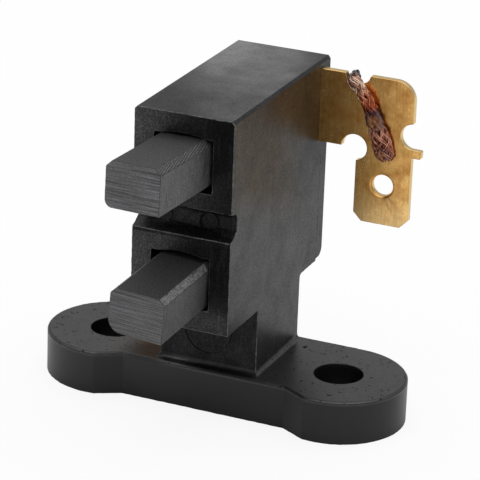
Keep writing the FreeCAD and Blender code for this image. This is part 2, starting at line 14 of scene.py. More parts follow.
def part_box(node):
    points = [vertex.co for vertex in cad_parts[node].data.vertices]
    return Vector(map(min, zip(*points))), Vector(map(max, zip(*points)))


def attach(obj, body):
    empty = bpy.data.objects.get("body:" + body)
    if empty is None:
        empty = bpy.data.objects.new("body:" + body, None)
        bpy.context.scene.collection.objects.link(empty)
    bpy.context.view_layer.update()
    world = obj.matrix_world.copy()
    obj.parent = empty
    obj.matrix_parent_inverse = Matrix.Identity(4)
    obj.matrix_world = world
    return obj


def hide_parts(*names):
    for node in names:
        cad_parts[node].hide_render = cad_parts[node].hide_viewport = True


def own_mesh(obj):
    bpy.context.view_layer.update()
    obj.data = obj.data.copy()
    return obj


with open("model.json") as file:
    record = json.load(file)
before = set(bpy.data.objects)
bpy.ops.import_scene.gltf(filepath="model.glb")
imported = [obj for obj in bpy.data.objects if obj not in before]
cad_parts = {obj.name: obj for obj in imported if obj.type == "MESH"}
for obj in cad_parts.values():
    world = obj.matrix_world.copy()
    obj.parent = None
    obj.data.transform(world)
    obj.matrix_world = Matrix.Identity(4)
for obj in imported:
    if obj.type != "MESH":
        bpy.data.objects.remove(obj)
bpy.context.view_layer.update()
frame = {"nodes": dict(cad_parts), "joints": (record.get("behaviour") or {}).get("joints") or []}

bl_info = {
    "name": "Carbon Brush Holder",
    "version": (1, 0, 0),
    "blender": (4, 5, 0),
    "location": "3D View > Sidebar > Brush Holder",
    "description": "Builds the looks of a two-brush holder around its frame",
    "category": "Object",
}

MM = 0.001

FOOT_TOP = 4.85 * MM
BLOCK_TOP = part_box("holder_body")[1].z
BLOCK_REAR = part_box("holder_body")[1].y
BLOCK_FRONT = -12.45 * MM
BLOCK_RIGHT = 5.55 * MM
NECK_BAND = (FOOT_TOP + 0.2 * MM, 12.2 * MM)
GROOVE_BAND = (21.6 * MM, 26.2 * MM)
TERMINAL_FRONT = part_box("upper_terminal")[0].y

# Ejector marks in the moulding's hollows, in millimetres: centre X, Y at the base, centre Z,
# radius, and how far the foot of the mark's wall leans out at its lower left.
EJECTOR_MARKS = (
    (0.0, -4.55, 9.0, 2.6, 0.24),
    (-2.6, -10.95, 23.975, 0.9, 0.42),
    (2.6, -10.95, 23.975, 0.9, 0.42),
)
LOW_LEFT = Vector((-0.8, 0, -0.6))
JOINTS = {joint["name"]: joint for joint in frame["joints"]}

FLOOR_GLOW = 0.87
LAMP_PLACE = Vector((-10, 28, 46)) * MM
LAMP_AIM = Vector((0, 0, 30)) * MM
LAMP_SIZE = 12 * MM
LAMP_POWER = 0.00055
EASED = {"interpolation_type": "SMOOTHSTEP"}

# Each brush set: its bore's level, the side of its blade and where the blade's inner edge is,
# the point of its brush's tail that the lead leaves from, how far its brush is rolled about its
# own length, and the seed of everything on it that is uneven.
SETS = {
    "upper": {
        "level": 30.275 * MM,
        "side": 1,
        "blade": 9.90 * MM,
        "tail": Vector((-0.022, -4.84, 30.386)) * MM,
        "roll": math.radians(0.486),
        "seed": 11,
    },
    "lower": {
        "level": 17.475 * MM,
        "side": -1,
        "blade": 9.15 * MM,
        "tail": Vector((-0.101, -4.23, 17.568)) * MM,
        "roll": math.radians(4.256),
        "seed": 23,
    },
}

# Route of a braid lead, in millimetres. First the run on its bore's axis, as (Y, Z
# above the axis), and the point where it leaves the cover's channel, with X counted from the
# blade's inner edge. It is straight between them, with points at these shares of the channel.
LEAD_IN_BORE = ((2.60, 0.03), (9.50, 0.00), (12.10, 0.00))
LEAD_RISE = (-2.80, 12.10, 1.20)
LEAD_CHANNEL_SHARES = (0.37, 0.62)

# Then up behind the terminal, over its top notch and down its front to the frayed end.
LEAD_BY_BLADE = (
    (-1.75, 12.10, 2.45),
    (-1.25, 12.10, 3.12),
    (-1.10, 12.08, 3.70),
    (-0.68, 9.95, 3.98),
    (-0.06, 9.88, 3.44),
    (0.60, 9.86, 2.78),
    (1.17, 9.90, 2.00),
    (1.58, 10.02, 1.05),
    (1.83, 10.20, 0.30),
    (2.06, 10.24, -0.40),
    (2.48, 10.14, -1.35),
    (2.92, 10.18, -2.30),
    (3.16, 10.27, -3.35),
    (3.43, 10.30, -4.05),
    (3.66, 10.31, -4.80),
)

# Sections of a braid, in millimetres: distance from its end, half width and half depth.
LEAD_SECTIONS = (
    (0.0, 1.18, 0.20),
    (1.0, 1.24, 0.22),
    (2.2, 1.30, 0.25),
    (3.3, 1.24, 0.32),
    (4.4, 1.08, 0.28),
    (5.2, 1.00, 0.28),
    (6.0, 0.92, 0.40),
    (7.0, 0.82, 0.50),
    (8.0, 0.71, 0.55),
    (8.8, 0.78, 0.53),
    (9.6, 0.86, 0.50),
    (11.0, 0.86, 0.50),
    (12.5, 0.72, 0.60),
    (13.5, 0.66, 0.66),
)
LEAD_END_ROUND = 1.1 * MM

# Tints of a braid's copper by the distance from its end, in millimetres, the length that they
# span, and how far its stains shift them on average, as a share of that.
COPPER_TINTS = (
    (2.6, "#f4b89c"),
    (5.2, "#8e6a64"),
    (5.9, "#785860"),
    (6.5, "#f08c60"),
    (7.6, "#ffb48c"),
    (8.4, "#ffdcc0"),
    (9.7, "#ffe4d0"),
)
TINT_SPAN = 12.0
TINT_SHIFT = 0.05

# Weld patches on a braid, in millimetres: distance from its end, shift across, half length,
# half width, half thickness, how far it stands out from the braid's middle, and its dish.
WELD_PATCHES = {
    "weld": (4.75, 0.05, 1.12, 1.00, 0.20, 0.20, 0.0),
    "end_weld": (0.98, -0.12, 0.66, 0.66, 0.22, 0.14, 0.55),
}


# Material slots: the worn edge's is the same on the moulding and the brushes.
WORN = 1
# Slot of the black painted shade on walls in the moulding's hollows.
SHADED_RECESS = 2
SAWN, FILED, TOP = 2, 3, 4
SHEARED = 1
TOOTH_TURN = Quaternion(Vector((1, 0, 1)), math.radians(103))

# Braid: distance between the points of its route, how far its strands wander and in what length,
# the length in which a strand's wires turn once, and how far and where they spread at the end.
LEAD_STEP = 0.14 * MM
WANDER = 0.14
WANDER_LENGTH = 2.3 * MM
ROPE_LAY = 4.2 * MM
FRAY = 0.7
FRAY_REACH = (1.0 * MM, 3.8 * MM)

# Springs: points in a turn, and the closed turns at each end with their pitch in wires.
STEPS_PER_TURN = 28
CLOSED_TURNS = 1.0
CLOSED_PITCH = 1.08


class BRUSHHOLDER_PG_moulding(bpy.types.PropertyGroup):
    """Sizes of the moulded holder and its cover"""

    edge_width: bpy.props.FloatProperty(
        name="Edge Width", description="Width of the rounding on the moulding's outer edges",
        default=0.07 * MM, min=0, unit="LENGTH",
    )
    edge_step: bpy.props.FloatProperty(
        name="Edge Step", description="Distance between the points that make an edge uneven",
        default=0.28 * MM, min=0.05 * MM, unit="LENGTH",
    )
    edge_wear: bpy.props.FloatProperty(
        name="Edge Wear", description="How far an edge wanders from straight", default=0.032 * MM, min=0,
        unit="LENGTH",
    )
    grain: bpy.props.FloatProperty(
        name="Grain", description="Size of the filler's grain, drawn as coarse as it needs to show",
        default=0.17 * MM, min=0.02 * MM, unit="LENGTH",
    )


class BRUSHHOLDER_PG_brushes(bpy.types.PropertyGroup):
    """Sizes of the carbon brushes"""

    edge_width: bpy.props.FloatProperty(
        name="Edge Width", description="Width of the worn rounding along a brush's edges",
        default=0.045 * MM, min=0, unit="LENGTH",
    )
    edge_step: bpy.props.FloatProperty(
        name="Edge Step", description="Distance between the points that make an edge uneven",
        default=0.22 * MM, min=0.05 * MM, unit="LENGTH",
    )
    edge_wear: bpy.props.FloatProperty(
        name="Edge Wear", description="How far an edge wanders from straight", default=0.02 * MM, min=0,
        unit="LENGTH",
    )
    saw_pitch: bpy.props.FloatProperty(
        name="Saw Pitch", description="Distance between the saw lines on a brush's end",
        default=0.12 * MM, min=0.02 * MM, unit="LENGTH",
    )


class BRUSHHOLDER_PG_metalwork(bpy.types.PropertyGroup):
    """Sizes of the terminals and springs"""

    die_roll: bpy.props.FloatProperty(
        name="Die Roll", description="Rounding that the punch leaves along a terminal's edges",
        default=0.07 * MM, min=0, unit="LENGTH",
    )
    spring_wire: bpy.props.FloatProperty(
        name="Spring Wire", description="Diameter of the springs' wire", default=0.4 * MM, min=0.05 * MM,
        unit="LENGTH",
    )
    spring_turns: bpy.props.IntProperty(
        name="Spring Turns", description="Turns of each spring, closed ones included", default=8, min=3,
    )


class BRUSHHOLDER_PG_leads(bpy.types.PropertyGroup):
    """Sizes of the copper braid leads"""

    wire: bpy.props.FloatProperty(
        name="Wire", description="Diameter of one wire of the braid, drawn as coarse as it needs to show",
        default=0.12 * MM, min=0.02 * MM, unit="LENGTH",
    )
    strands: bpy.props.IntProperty(
        name="Strands", description="Strands that wind each way round the braid", default=6, min=3,
    )
    wires_per_strand: bpy.props.IntProperty(
        name="Wires per Strand", description="Wires that lie side by side in a strand", default=5, min=2,
    )
    lay: bpy.props.FloatProperty(
        name="Lay", description="Length in which a strand winds once round the braid", default=10.0 * MM,
        min=1 * MM, unit="LENGTH",
    )
    strand_width: bpy.props.FloatProperty(
        name="Strand Width", description="Width of a strand, whose wires are wound round each other",
        default=0.46 * MM, min=0.1 * MM, unit="LENGTH",
    )
    core_wires: bpy.props.IntProperty(
        name="Core Wires", description="Straight wires inside the braid", default=9, min=1,
    )


class BRUSHHOLDER_PG_stage(bpy.types.PropertyGroup):
    """Camera, light and floor"""

    azimuth: bpy.props.FloatProperty(
        name="Azimuth", description="How far the camera stands to the right",
        default=math.radians(22.955), unit="ROTATION",
    )
    elevation: bpy.props.FloatProperty(
        name="Elevation", description="How far the camera looks down", default=math.radians(21.471),
        unit="ROTATION",
    )
    roll: bpy.props.FloatProperty(
        name="Roll", description="How far the camera leans over", default=math.radians(2.146),
        unit="ROTATION",
    )
    distance: bpy.props.FloatProperty(
        name="Distance", description="From the camera to the point that it looks at",
        default=297.521 * MM, unit="LENGTH",
    )
    aim_height: bpy.props.FloatProperty(
        name="Aim Height", description="Height of the point that the camera looks at", default=18 * MM,
        unit="LENGTH",
    )
    slide_right: bpy.props.FloatProperty(
        name="Slide Right", description="How far the camera is moved to its right", default=1.151 * MM,
        unit="LENGTH",
    )
    slide_up: bpy.props.FloatProperty(
        name="Slide Up", description="How far the camera is moved up", default=-0.370 * MM, unit="LENGTH",
    )
    lens: bpy.props.FloatProperty(
        name="Lens", description="Focal length in millimetres on a 36 mm frame", default=210.0,
    )
    floor_size: bpy.props.FloatProperty(
        name="Floor Size", description="Side of the floor", default=4.0, unit="LENGTH",
    )


def linear(colour):
    """An sRGB hex colour as linear red, green, blue and alpha."""
    channels = [int(colour[start:start + 2], 16) / 255 for start in (1, 3, 5)]
    return [c / 12.92 if c <= 0.04045 else ((c + 0.055) / 1.055) ** 2.4 for c in channels] + [1.0]


def per_metre(size):
    """Scale of a texture whose pattern has this size in metres."""
    return 1 / size


def set_inputs(node, inputs):
    """Sets or links a node's inputs, given by name, or in the order of the sockets in use."""
    if isinstance(inputs, dict):
        pairs = [(node.inputs[name], value) for name, value in inputs.items()]
    else:
        pairs = zip([socket for socket in node.inputs if socket.enabled], inputs)
    for socket, value in pairs:
        if isinstance(value, bpy.types.NodeSocket):
            node.id_data.links.new(value, socket)
        else:
            socket.default_value = linear(value) if isinstance(value, str) else value


def add_node(tree, kind, inputs=(), output=None, **settings):
    """Adds a node with its settings and inputs, and returns the output named or the first in use.

    In order, a noise takes its place, scale, detail and roughness, a map range its value, the two
    ends that it comes from and the two that it goes to, and a mix its share and what it mixes.
    """
    made = tree.nodes.new("ShaderNode" + kind)
    for name, value in settings.items():
        setattr(made, name, value)
    set_inputs(made, inputs)
    if output:
        return made.outputs[output]
    return next(socket for socket in made.outputs if socket.enabled)


def new_material(name):
    """A material, what adds nodes to it, its surface shader and its object coordinates."""
    made = bpy.data.materials.new(name)
    made.use_nodes = True
    add = partial(add_node, made.node_tree)
    return made, add, made.node_tree.nodes["Principled BSDF"], add("TexCoord", output="Object")


def moulded_phenolic():
    """Phenolic moulding powder pressed hot: near black, half glossy, grainy from its filler."""
    made, add, shader, place = new_material("moulded_phenolic")
    clouds = add("TexNoise", (place, per_metre(4.5 * MM), 3.0, 0.6))
    smudges = add("TexNoise", {
        "Vector": place, "Scale": per_metre(2.6 * MM), "Detail": 5.0, "Roughness": 0.66, "Distortion": 0.4,
    })
    grain = add("TexNoise", (place, per_metre(bpy.context.scene.moulding.grain), 2.0, 0.7))
    upright = add("Mapping", {"Vector": place, "Scale": (1.0, 1.0, 0.14)})
    streaks = add("TexNoise", (upright, per_metre(0.3 * MM), 3.0, 0.6))
    pit_noise = add("TexNoise", (place, per_metre(0.42 * MM), 2.0, 0.7))
    across, along, height = add("SeparateXYZ", (place,)).node.outputs
    normal = add("NewGeometry", output="True Normal")
    normal_x, normal_y, normal_z = add("SeparateXYZ", (normal,)).node.outputs
    above_foot = add("MapRange", (height, FOOT_TOP, FOOT_TOP + 0.6 * MM))
    on_top = add("MapRange", (height, FOOT_TOP - 0.5 * MM, FOOT_TOP - 0.2 * MM))

    # Painted shade and highlight on the block's front: beside the brushes its gloss runs from strong at the
    # left to weak at the right, and in its hollows it is halved.
    is_front = add("Math", (normal_y, -0.9), operation="LESS_THAN")
    to_right = add("MapRange", (across, -5.5 * MM, 4.6 * MM, 1.7, 0.3))
    under_brush = add("MapRange", (height, 13.2 * MM, 15.2 * MM), **EASED)
    on_front = add("Math", (is_front, under_brush), operation="MULTIPLY")
    in_groove = add("Math", (height, 23.9 * MM, 1.8 * MM), operation="COMPARE")
    on_neck = add("Math", (height, NECK_BAND[1]), operation="LESS_THAN")
    hollow = add("Math", (in_groove, on_neck), operation="ADD")
    in_hollow = add("Math", (hollow, is_front), operation="MULTIPLY")
    open_front_painted_shade = add("Mix", (on_front, 1.0, to_right))
    front_painted_shade = add("Mix", (in_hollow, open_front_painted_shade, 0.5))

    # Painted shade on its side, whose gloss falls towards the rear beside the terminal, and painted sheen on
    # its top, whose gloss is stronger at the left and the rear.
    is_side = add("Math", (normal_x, 0.9), operation="GREATER_THAN")
    rearward = add("MapRange", (along, 0.0, 8 * MM, 1.0, 0.55), **EASED)
    upper_rear = add("MapRange", (height, 20 * MM, 24 * MM), **EASED)
    by_terminal = add("Math", (is_side, upper_rear), operation="MULTIPLY")
    side_painted_shade = add("Mix", (by_terminal, 1.0, rearward))
    is_up = add("Math", (normal_z, 0.9), operation="GREATER_THAN")
    to_left = add("MapRange", (across, -5.5 * MM, 0.0, 2.0, 1.0), **EASED)
    to_rear = add("MapRange", (along, -6 * MM, 11 * MM, 0.48, 1.1), **EASED)
    top_painted_sheen = add("Math", (to_left, to_rear), operation="MULTIPLY")
    side_and_top_painted_shade = add("Mix", (is_up, side_painted_shade, top_painted_sheen))
    painted_shade_and_sheen = add("Math", (front_painted_shade, side_and_top_painted_shade), operation="MULTIPLY")

    # The specks on the front fade with its painted shade too.
    all_specks = add("MapRange", (grain, 0.56, 0.8))
    specks = add("Math", (all_specks, front_painted_shade), operation="MULTIPLY")
    ground = add("Mix", (clouds, "#090909", "#121213"), data_type="RGBA")
    streaked = add("MapRange", (streaks, 0.52, 0.8, 0.0, 0.4))
    lined = add("Mix", (streaked, ground, "#39393a"), data_type="RGBA")
    speckled = add("Mix", (specks, lined, "#363637"), data_type="RGBA")
    foot_colour = add("Mix", (clouds, "#0b0b0c", "#151516"), data_type="RGBA")
    all_pits = add("MapRange", (pit_noise, 0.64, 0.68))
    pits = add("Math", (all_pits, on_top), operation="MULTIPLY")
    pitted = add("Mix", (pits, foot_colour, "#060606"), data_type="RGBA")
    colour = add("Mix", (above_foot, pitted, speckled), data_type="RGBA")

    block_roughness = add("MapRange", (clouds, 0.3, 0.7, 0.34, 0.42))
    foot_roughness = add("MapRange", (pits, 0.0, 1.0, 0.33, 0.7))
    roughness = add("Mix", (above_foot, foot_roughness, block_roughness))
    grain_bump = add("Bump", {"Height": grain, "Strength": 0.5, "Distance": 0.008 * MM})
    bump = add("Bump", {
        "Height": pits, "Strength": 0.5, "Distance": 0.04 * MM, "Normal": grain_bump,
    }, invert=True)

    pressed = add("MapRange", (grain, 0.34, 0.68, 0.17, 0.43))
    mottled = add("MapRange", (smudges, 0.32, 0.68, 0.7, 1.34))
    even_gloss = add("Math", (pressed, mottled), operation="MULTIPLY")
    # The block's gloss carries the painted shade and sheen of its front, side and top.
    block_gloss = add("Math", (even_gloss, painted_shade_and_sheen), operation="MULTIPLY")
    top_shine = add("Math", (even_gloss, 1.1, 0.48), operation="MULTIPLY_ADD")
    # Painted shadow on the foot's top beside the neck's left front corner: its gloss drops there.
    painted_shadow_spot = (-7.0 * MM, -4.4 * MM, FOOT_TOP)
    from_painted_shadow_spot = add("VectorMath", (place, painted_shadow_spot), operation="DISTANCE")
    painted_shadow = add("MapRange", (from_painted_shadow_spot, 1.4 * MM, 4.0 * MM, 0.26, 1.0), **EASED)
    uneven_shine = add("Math", (top_shine, painted_shadow), operation="MULTIPLY")
    foot_shine = add("Mix", (on_top, 0.36, uneven_shine))
    foot_gloss = add("Mix", (pits, foot_shine, 0.0))
    gloss = add("Mix", (above_foot, foot_gloss, block_gloss))
    set_inputs(shader, {
        "Base Color": colour, "Roughness": roughness, "Normal": bump, "Specular IOR Level": gloss,
        "IOR": 1.55,
    })
    return made


def recess_painted_shade():
    """Walls of the shallow marks in the moulding's hollows: black, a painted shade."""
    made, _, shader, _ = new_material("recess_painted_shade")
    set_inputs(shader, {
        "Base Color": "#050505", "Roughness": 0.8, "IOR": 1.55, "Specular IOR Level": 0.1,
    })
    return made


def flashed_edge_and_highlight():
    """Edge of the moulding where thin flash was broken off: rough, and lighter above the foot, partly from
    the broken flash and partly as a painted highlight.
    """
    made, add, shader, place = new_material("flashed_edge_and_highlight")
    crumbs = add("TexNoise", (place, per_metre(0.3 * MM), 3.0, 0.75))
    share = add("MapRange", (crumbs, 0.4, 0.68))
    # Lighter edge colour: broken flash and a painted highlight.
    broken_flash_and_highlight = add("Mix", (share, "#1c1c1d", "#707072"), data_type="RGBA")
    height = add("SeparateXYZ", (place,), "Z")
    above_foot = add("Math", (height, FOOT_TOP + 0.3 * MM), operation="GREATER_THAN")
    colour = add("Mix", (above_foot, "#0f0f10", broken_flash_and_highlight), data_type="RGBA")
    bump = add("Bump", {"Height": crumbs, "Strength": 0.7, "Distance": 0.04 * MM})
    set_inputs(shader, {"Base Color": colour, "Normal": bump, "Roughness": 0.58, "IOR": 1.6})
    return made


def brush_turn(name):
    """How a brush is turned in its box: along its joint's axis and rolled about it."""
    axis = Vector(JOINTS[name + "_brush_slide"]["axis"])
    forward = Vector((0, 1, 0))
    return forward.rotation_difference(axis) @ Quaternion(forward, SETS[name]["roll"])


def carbon_graphite(name, finish, stretch, low, high, roughness, line_depth, graininess=0.5, crisp=0.17,
                    teeth=None):
    """Pressed carbon and graphite, cut or ground: dark grey, with the tool's lines along one way.

    The stretch gives the lines' direction: a small number lengthens the pattern along that axis.
    The graininess is how much of the pressed grain shows through the lines, and the crispness
    is half the range of the noise between a dark line and a light one.
    The teeth, if any, are the pitch and the turn of even marks across a chamfer.
    """
    made, add, shader, place = new_material("carbon_graphite_" + finish + "_" + name)
    turned = {"Vector": place, "Rotation": brush_turn(name).to_euler()}
    own = add("Mapping", turned, vector_type="TEXTURE")
    along = add("Mapping", {"Vector": own, "Scale": stretch})
    line_scale = per_metre(bpy.context.scene.brushes.saw_pitch)
    patches = add("TexNoise", (own, per_metre(2.2 * MM), 3.0, 0.6))
    grain = add("TexNoise", (own, per_metre(0.16 * MM), 2.0, 0.75))
    if teeth:
        pitch, turn = teeth
        crossed = {"Vector": own, "Rotation": turn.to_euler()}
        lines = add("TexWave", {
            "Vector": add("Mapping", crossed, vector_type="TEXTURE"),
            "Scale": math.pi / (10 * pitch), "Distortion": 2.5, "Detail": 2.0, "Detail Scale": 0.7,
        }, "Fac", bands_direction="Y")
        drawn = lines
    else:
        lines = add("TexNoise", (along, line_scale, 3.0, 0.65))
        drawn = add("MapRange", (lines, 0.49 - crisp, 0.49 + crisp))
    base = add("Mix", (drawn, low, high), data_type="RGBA")
    deep = add("Mapping", {"Vector": along, "Scale": (0.5, 0.3, 0.3), "Location": (0.3, 0.1, 0.2)})
    furrows = add("TexNoise", (deep, line_scale, 1.0))
    furrow = add("MapRange", (furrows, 0.36, 0.30, 0.0, 0.75))
    furrowed = add("Mix", (furrow, base, "#101010"), data_type="RGBA")
    clouded = add("Mix", (0.45, furrowed, patches), data_type="RGBA", blend_type="SOFT_LIGHT")
    spread = add("MapRange", (grain, 0.3, 0.7))
    colour = add("Mix", (graininess, clouded, spread), data_type="RGBA", blend_type="OVERLAY")
    # Painted highlight: the sawn end turns lighter towards its right edge.
    if finish == "sawn":
        across = add("SeparateXYZ", (own,))
        to_right = add("MapRange", (across, 0.0, 3.2 * MM, 0.0, 0.35), **EASED)
        colour = add("Mix", (1.0, colour, to_right), data_type="RGBA", blend_type="DODGE")
    gloss_range = (0.45 - 0.4 * graininess, 0.45 + 0.4 * graininess)
    gloss = add("MapRange", (grain, 0.34, 0.68, *gloss_range))
    fine = add("Bump", {"Height": grain, "Strength": 0.35, "Distance": 0.012 * MM})
    cut = add("Bump", {"Height": lines, "Strength": 0.8, "Distance": line_depth, "Normal": fine})
    set_inputs(shader, {
        "Base Color": colour, "Roughness": roughness, "Normal": cut, "Specular IOR Level": gloss, "IOR": 1.8,
    })
    return made


def stamped_brass(name, blade_end):
    """Rolled brass strip, stamped: warm, half polished and tarnished, and paler at the blade's end as a
    painted reflection of the bright floor.
    """
    made, add, shader, place = new_material("stamped_brass_" + name)
    rolled = add("Mapping", {"Vector": place, "Scale": (1.0, 1.0, 0.1)})
    lines = add("TexNoise", (rolled, per_metre(0.2 * MM), 4.0, 0.7))
    tarnish = add("TexNoise", (place, per_metre(1.7 * MM), 6.0, 0.68))
    share = add("MapRange", (tarnish, 0.36, 0.66))
    metal = add("Mix", (share, "#f1bf74", "#c48a46"), data_type="RGBA")
    height = add("SeparateXYZ", (place,), "Z")
    # Painted reflection: the colour turns paler towards the blade's end.
    end_painted_reflection = add("MapRange", (height, blade_end, blade_end + 4.5 * MM, 0.45, 0.0), **EASED)
    paler_painted_reflection = add("Mix", (end_painted_reflection, metal, "#ffe2a6"), data_type="RGBA")
    streaked = add("Mix", (0.8, paler_painted_reflection, lines), data_type="RGBA", blend_type="SOFT_LIGHT")
    roughness = add("MapRange", (tarnish, 0.3, 0.7, 0.24, 0.34))
    bump = add("Bump", {"Height": lines, "Strength": 0.35, "Distance": 0.01 * MM})
    set_inputs(shader, {
        "Base Color": streaked, "Roughness": roughness, "Normal": bump, "Metallic": 1.0,
    })
    return made


def sheared_brass():
    """Cut edge of the brass strip, sheared clean by the punch: bright, pale and lightly dragged."""
    made, add, shader, place = new_material("sheared_brass")
    drag = add("Mapping", {"Vector": place, "Scale": (1.0, 0.1, 1.0)})
    lines = add("TexNoise", (drag, per_metre(0.12 * MM), 2.0))
    colour = add("Mix", (lines, "#f6dfa8", "#dcb878"), data_type="RGBA")
    set_inputs(shader, {"Base Color": colour, "Metallic": 1.0, "Roughness": 0.36})
    return made


def copper_wire():
    """Bare drawn copper wire: bright at the notch, redder and violet by the welds, dull on the bend."""
    made, add, shader, place = new_material("copper_wire")
    each = add("NewGeometry", output="Random Per Island")
    from_end = add("Attribute", output="Fac", attribute_name="from_end")
    stain = add("TexNoise", (place, per_metre(0.6 * MM), 3.0, 0.7))
    along = add("Math", (from_end, 1 / (TINT_SPAN * MM)), operation="MULTIPLY")
    wandering = add("Math", (stain, 2 * TINT_SHIFT, along), operation="MULTIPLY_ADD")
    tint = add("ValToRGB", (wandering,))
    elements = tint.node.color_ramp.elements
    elements[0].position = TINT_SHIFT
    elements[0].color = linear("#c78c78")
    elements[1].position = 0.92
    elements[1].color = linear("#6a727c")
    for reach, colour in COPPER_TINTS:
        elements.new(reach / TINT_SPAN + TINT_SHIFT).color = linear(colour)
    bright = add("Mix", (each, tint, "#b08c80"), data_type="RGBA", blend_type="MULTIPLY")
    spread = add("Math", (each, 0.25, stain), operation="MULTIPLY_ADD")
    share = add("MapRange", (spread, 0.66, 0.86, 0.0, 0.9))
    colour = add("Mix", (share, bright, "#7c4434"), data_type="RGBA", blend_type="MULTIPLY")
    set_inputs(shader, {"Base Color": colour, "Metallic": 1.0, "Roughness": 0.32})
    return made


def fused_copper():
    """Copper wires fused under a welding electrode: brown, dull and bluish grey at the rim."""
    made, add, shader, place = new_material("fused_copper")
    stain = add("TexNoise", (place, per_metre(0.5 * MM), 4.0, 0.65))
    share = add("MapRange", (stain, 0.35, 0.65))
    brown = add("Mix", (share, "#b5805c", "#7d5138"), data_type="RGBA")
    out = add("Attribute", output="Fac", attribute_name="rim")
    rim = add("Math", (stain, 0.5, out), operation="MULTIPLY_ADD")
    at_rim = add("MapRange", (rim, 1.0, 1.25))
    colour = add("Mix", (at_rim, brown, "#5d5f70"), data_type="RGBA")
    bump = add("Bump", {"Height": stain, "Strength": 0.6, "Distance": 0.05 * MM})
    set_inputs(shader, {"Base Color": colour, "Normal": bump, "Metallic": 0.9, "Roughness": 0.42})
    return made


def spring_steel():
    """Hard drawn spring wire: grey, bright along the die's lines."""
    made, add, shader, place = new_material("spring_steel")
    lines = add("TexNoise", (place, per_metre(0.25 * MM), 3.0))
    colour = add("Mix", (lines, "#8f9296", "#c3c5c8"), data_type="RGBA")
    set_inputs(shader, {"Base Color": colour, "Metallic": 1.0, "Roughness": 0.3})
    return made


def shared(make):
    """A material that several pieces have, which is made once by the function of its name."""
    return bpy.data.materials.get(make.__name__) or make()


def choose(piece):
    """Makes a piece the only selected object, and the active one."""
    bpy.ops.object.select_all(action="DESELECT")
    piece.select_set(True)
    bpy.context.view_layer.objects.active = piece


def start_editing(piece, kind):
    """Opens a piece in edit mode with nothing selected and returns its mesh."""
    choose(piece)
    bpy.ops.object.mode_set(mode="EDIT")
    bpy.ops.mesh.select_mode(type=kind)
    bpy.ops.mesh.select_all(action="DESELECT")
    return bmesh.from_edit_mesh(piece.data)


def select_where(piece, shape, elements, test):
    """Selects the edges or faces that pass a test and counts them."""
    found = 0
    for element in elements:
        if test(element):
            element.select_set(True)
            found += 1
    shape.select_flush_mode()
    bmesh.update_edit_mesh(piece.data)
    return found


def merged_copy(node, name):
    """A new piece from a CAD node, its loose triangles merged and its flat faces made whole."""
    mesh = frame["nodes"][node].data.copy()
    mesh.materials.clear()
    piece = bpy.data.objects.new(name, mesh)
    bpy.context.scene.collection.objects.link(piece)
    start_editing(piece, "VERT")
    bpy.ops.mesh.select_all(action="SELECT")
    bpy.ops.mesh.customdata_custom_splitnormals_clear()
    bpy.ops.mesh.remove_doubles(threshold=0.002 * MM)
    bpy.ops.mesh.dissolve_limited(angle_limit=math.radians(0.6))
    bpy.ops.object.mode_set(mode="OBJECT")
    return piece


def is_corner(edge, least_deg):
    """Whether an edge stands out from the solid and turns by at least an angle."""
    if len(edge.link_faces) != 2 or not edge.is_convex:
        return False
    return edge.calc_face_angle() > math.radians(least_deg)


def divide_edges(piece, step, test):
    """Divides the edges that pass a test into short steps, and leaves their faces whole."""
    shape = start_editing(piece, "EDGE")
    cuts_of = {}
    for edge in shape.edges:
        cuts = round(edge.calc_length() / step) - 1
        if cuts > 0 and test(edge):
            cuts_of.setdefault(cuts, []).append(edge)
    for cuts in sorted(cuts_of):
        bmesh.ops.bisect_edges(shape, edges=cuts_of[cuts], cuts=cuts)
    bmesh.update_edit_mesh(piece.data)
    bpy.ops.object.mode_set(mode="OBJECT")


def round_edges(piece, width, test, segments=2, worn_slot=WORN):
    """Bevels the edges that pass a test, and gives the new faces the worn edge's material."""
    shape = start_editing(piece, "EDGE")
    found = select_where(piece, shape, shape.edges, test)
    if found == 0:
        raise RuntimeError(piece.name + " has no edge to round")
    bpy.ops.mesh.bevel(
        offset=width,
        offset_type="OFFSET",
        segments=segments,
        profile=0.5,
        affect="EDGES",
        clamp_overlap=False,
        material=worn_slot,
        loop_slide=False,
    )
    bpy.ops.object.mode_set(mode="OBJECT")


def place_key(face):
    """Sorts faces by where they are."""
    return tuple(round(value / MM, 3) for value in face.calc_center_median())


def crumble_edges(piece, step, wear, seed, worn_slot=WORN):
    """Shifts each point of the rounded edges a little within its faces, and chips it here and there."""
    noise.seed_set(seed)  # without a seed, noise_vector starts from the clock
    shape = start_editing(piece, "VERT")
    offset = Vector((seed, 0.37 * seed, 0.61 * seed))
    moves = []
    for vertex in shape.verts:
        if not any(face.material_index == worn_slot for face in vertex.link_faces):
            continue
        shift = noise.noise_vector(vertex.co / (1.6 * step) + offset) * wear
        chip = max(0.0, noise.noise(vertex.co / (4.0 * step) - offset) - 0.22)
        shift -= vertex.normal * chip * 4.0 * wear
        flat_faces = [face for face in vertex.link_faces if face.material_index != worn_slot]
        for face in sorted(flat_faces, key=place_key):
            shift -= face.normal * shift.dot(face.normal)
        moves.append((vertex, shift))
    for vertex, shift in moves:
        vertex.co += shift
    bmesh.update_edit_mesh(piece.data)
    bpy.ops.object.mode_set(mode="OBJECT")


def split_large_faces(piece):
    """Cuts every face of more than four corners into triangles, which lie in its plane."""
    shape = start_editing(piece, "FACE")
    select_where(piece, shape, shape.faces, lambda face: len(face.verts) > 4)
    bpy.ops.mesh.quads_convert_to_tris(ngon_method="BEAUTY")
    bpy.ops.object.mode_set(mode="OBJECT")


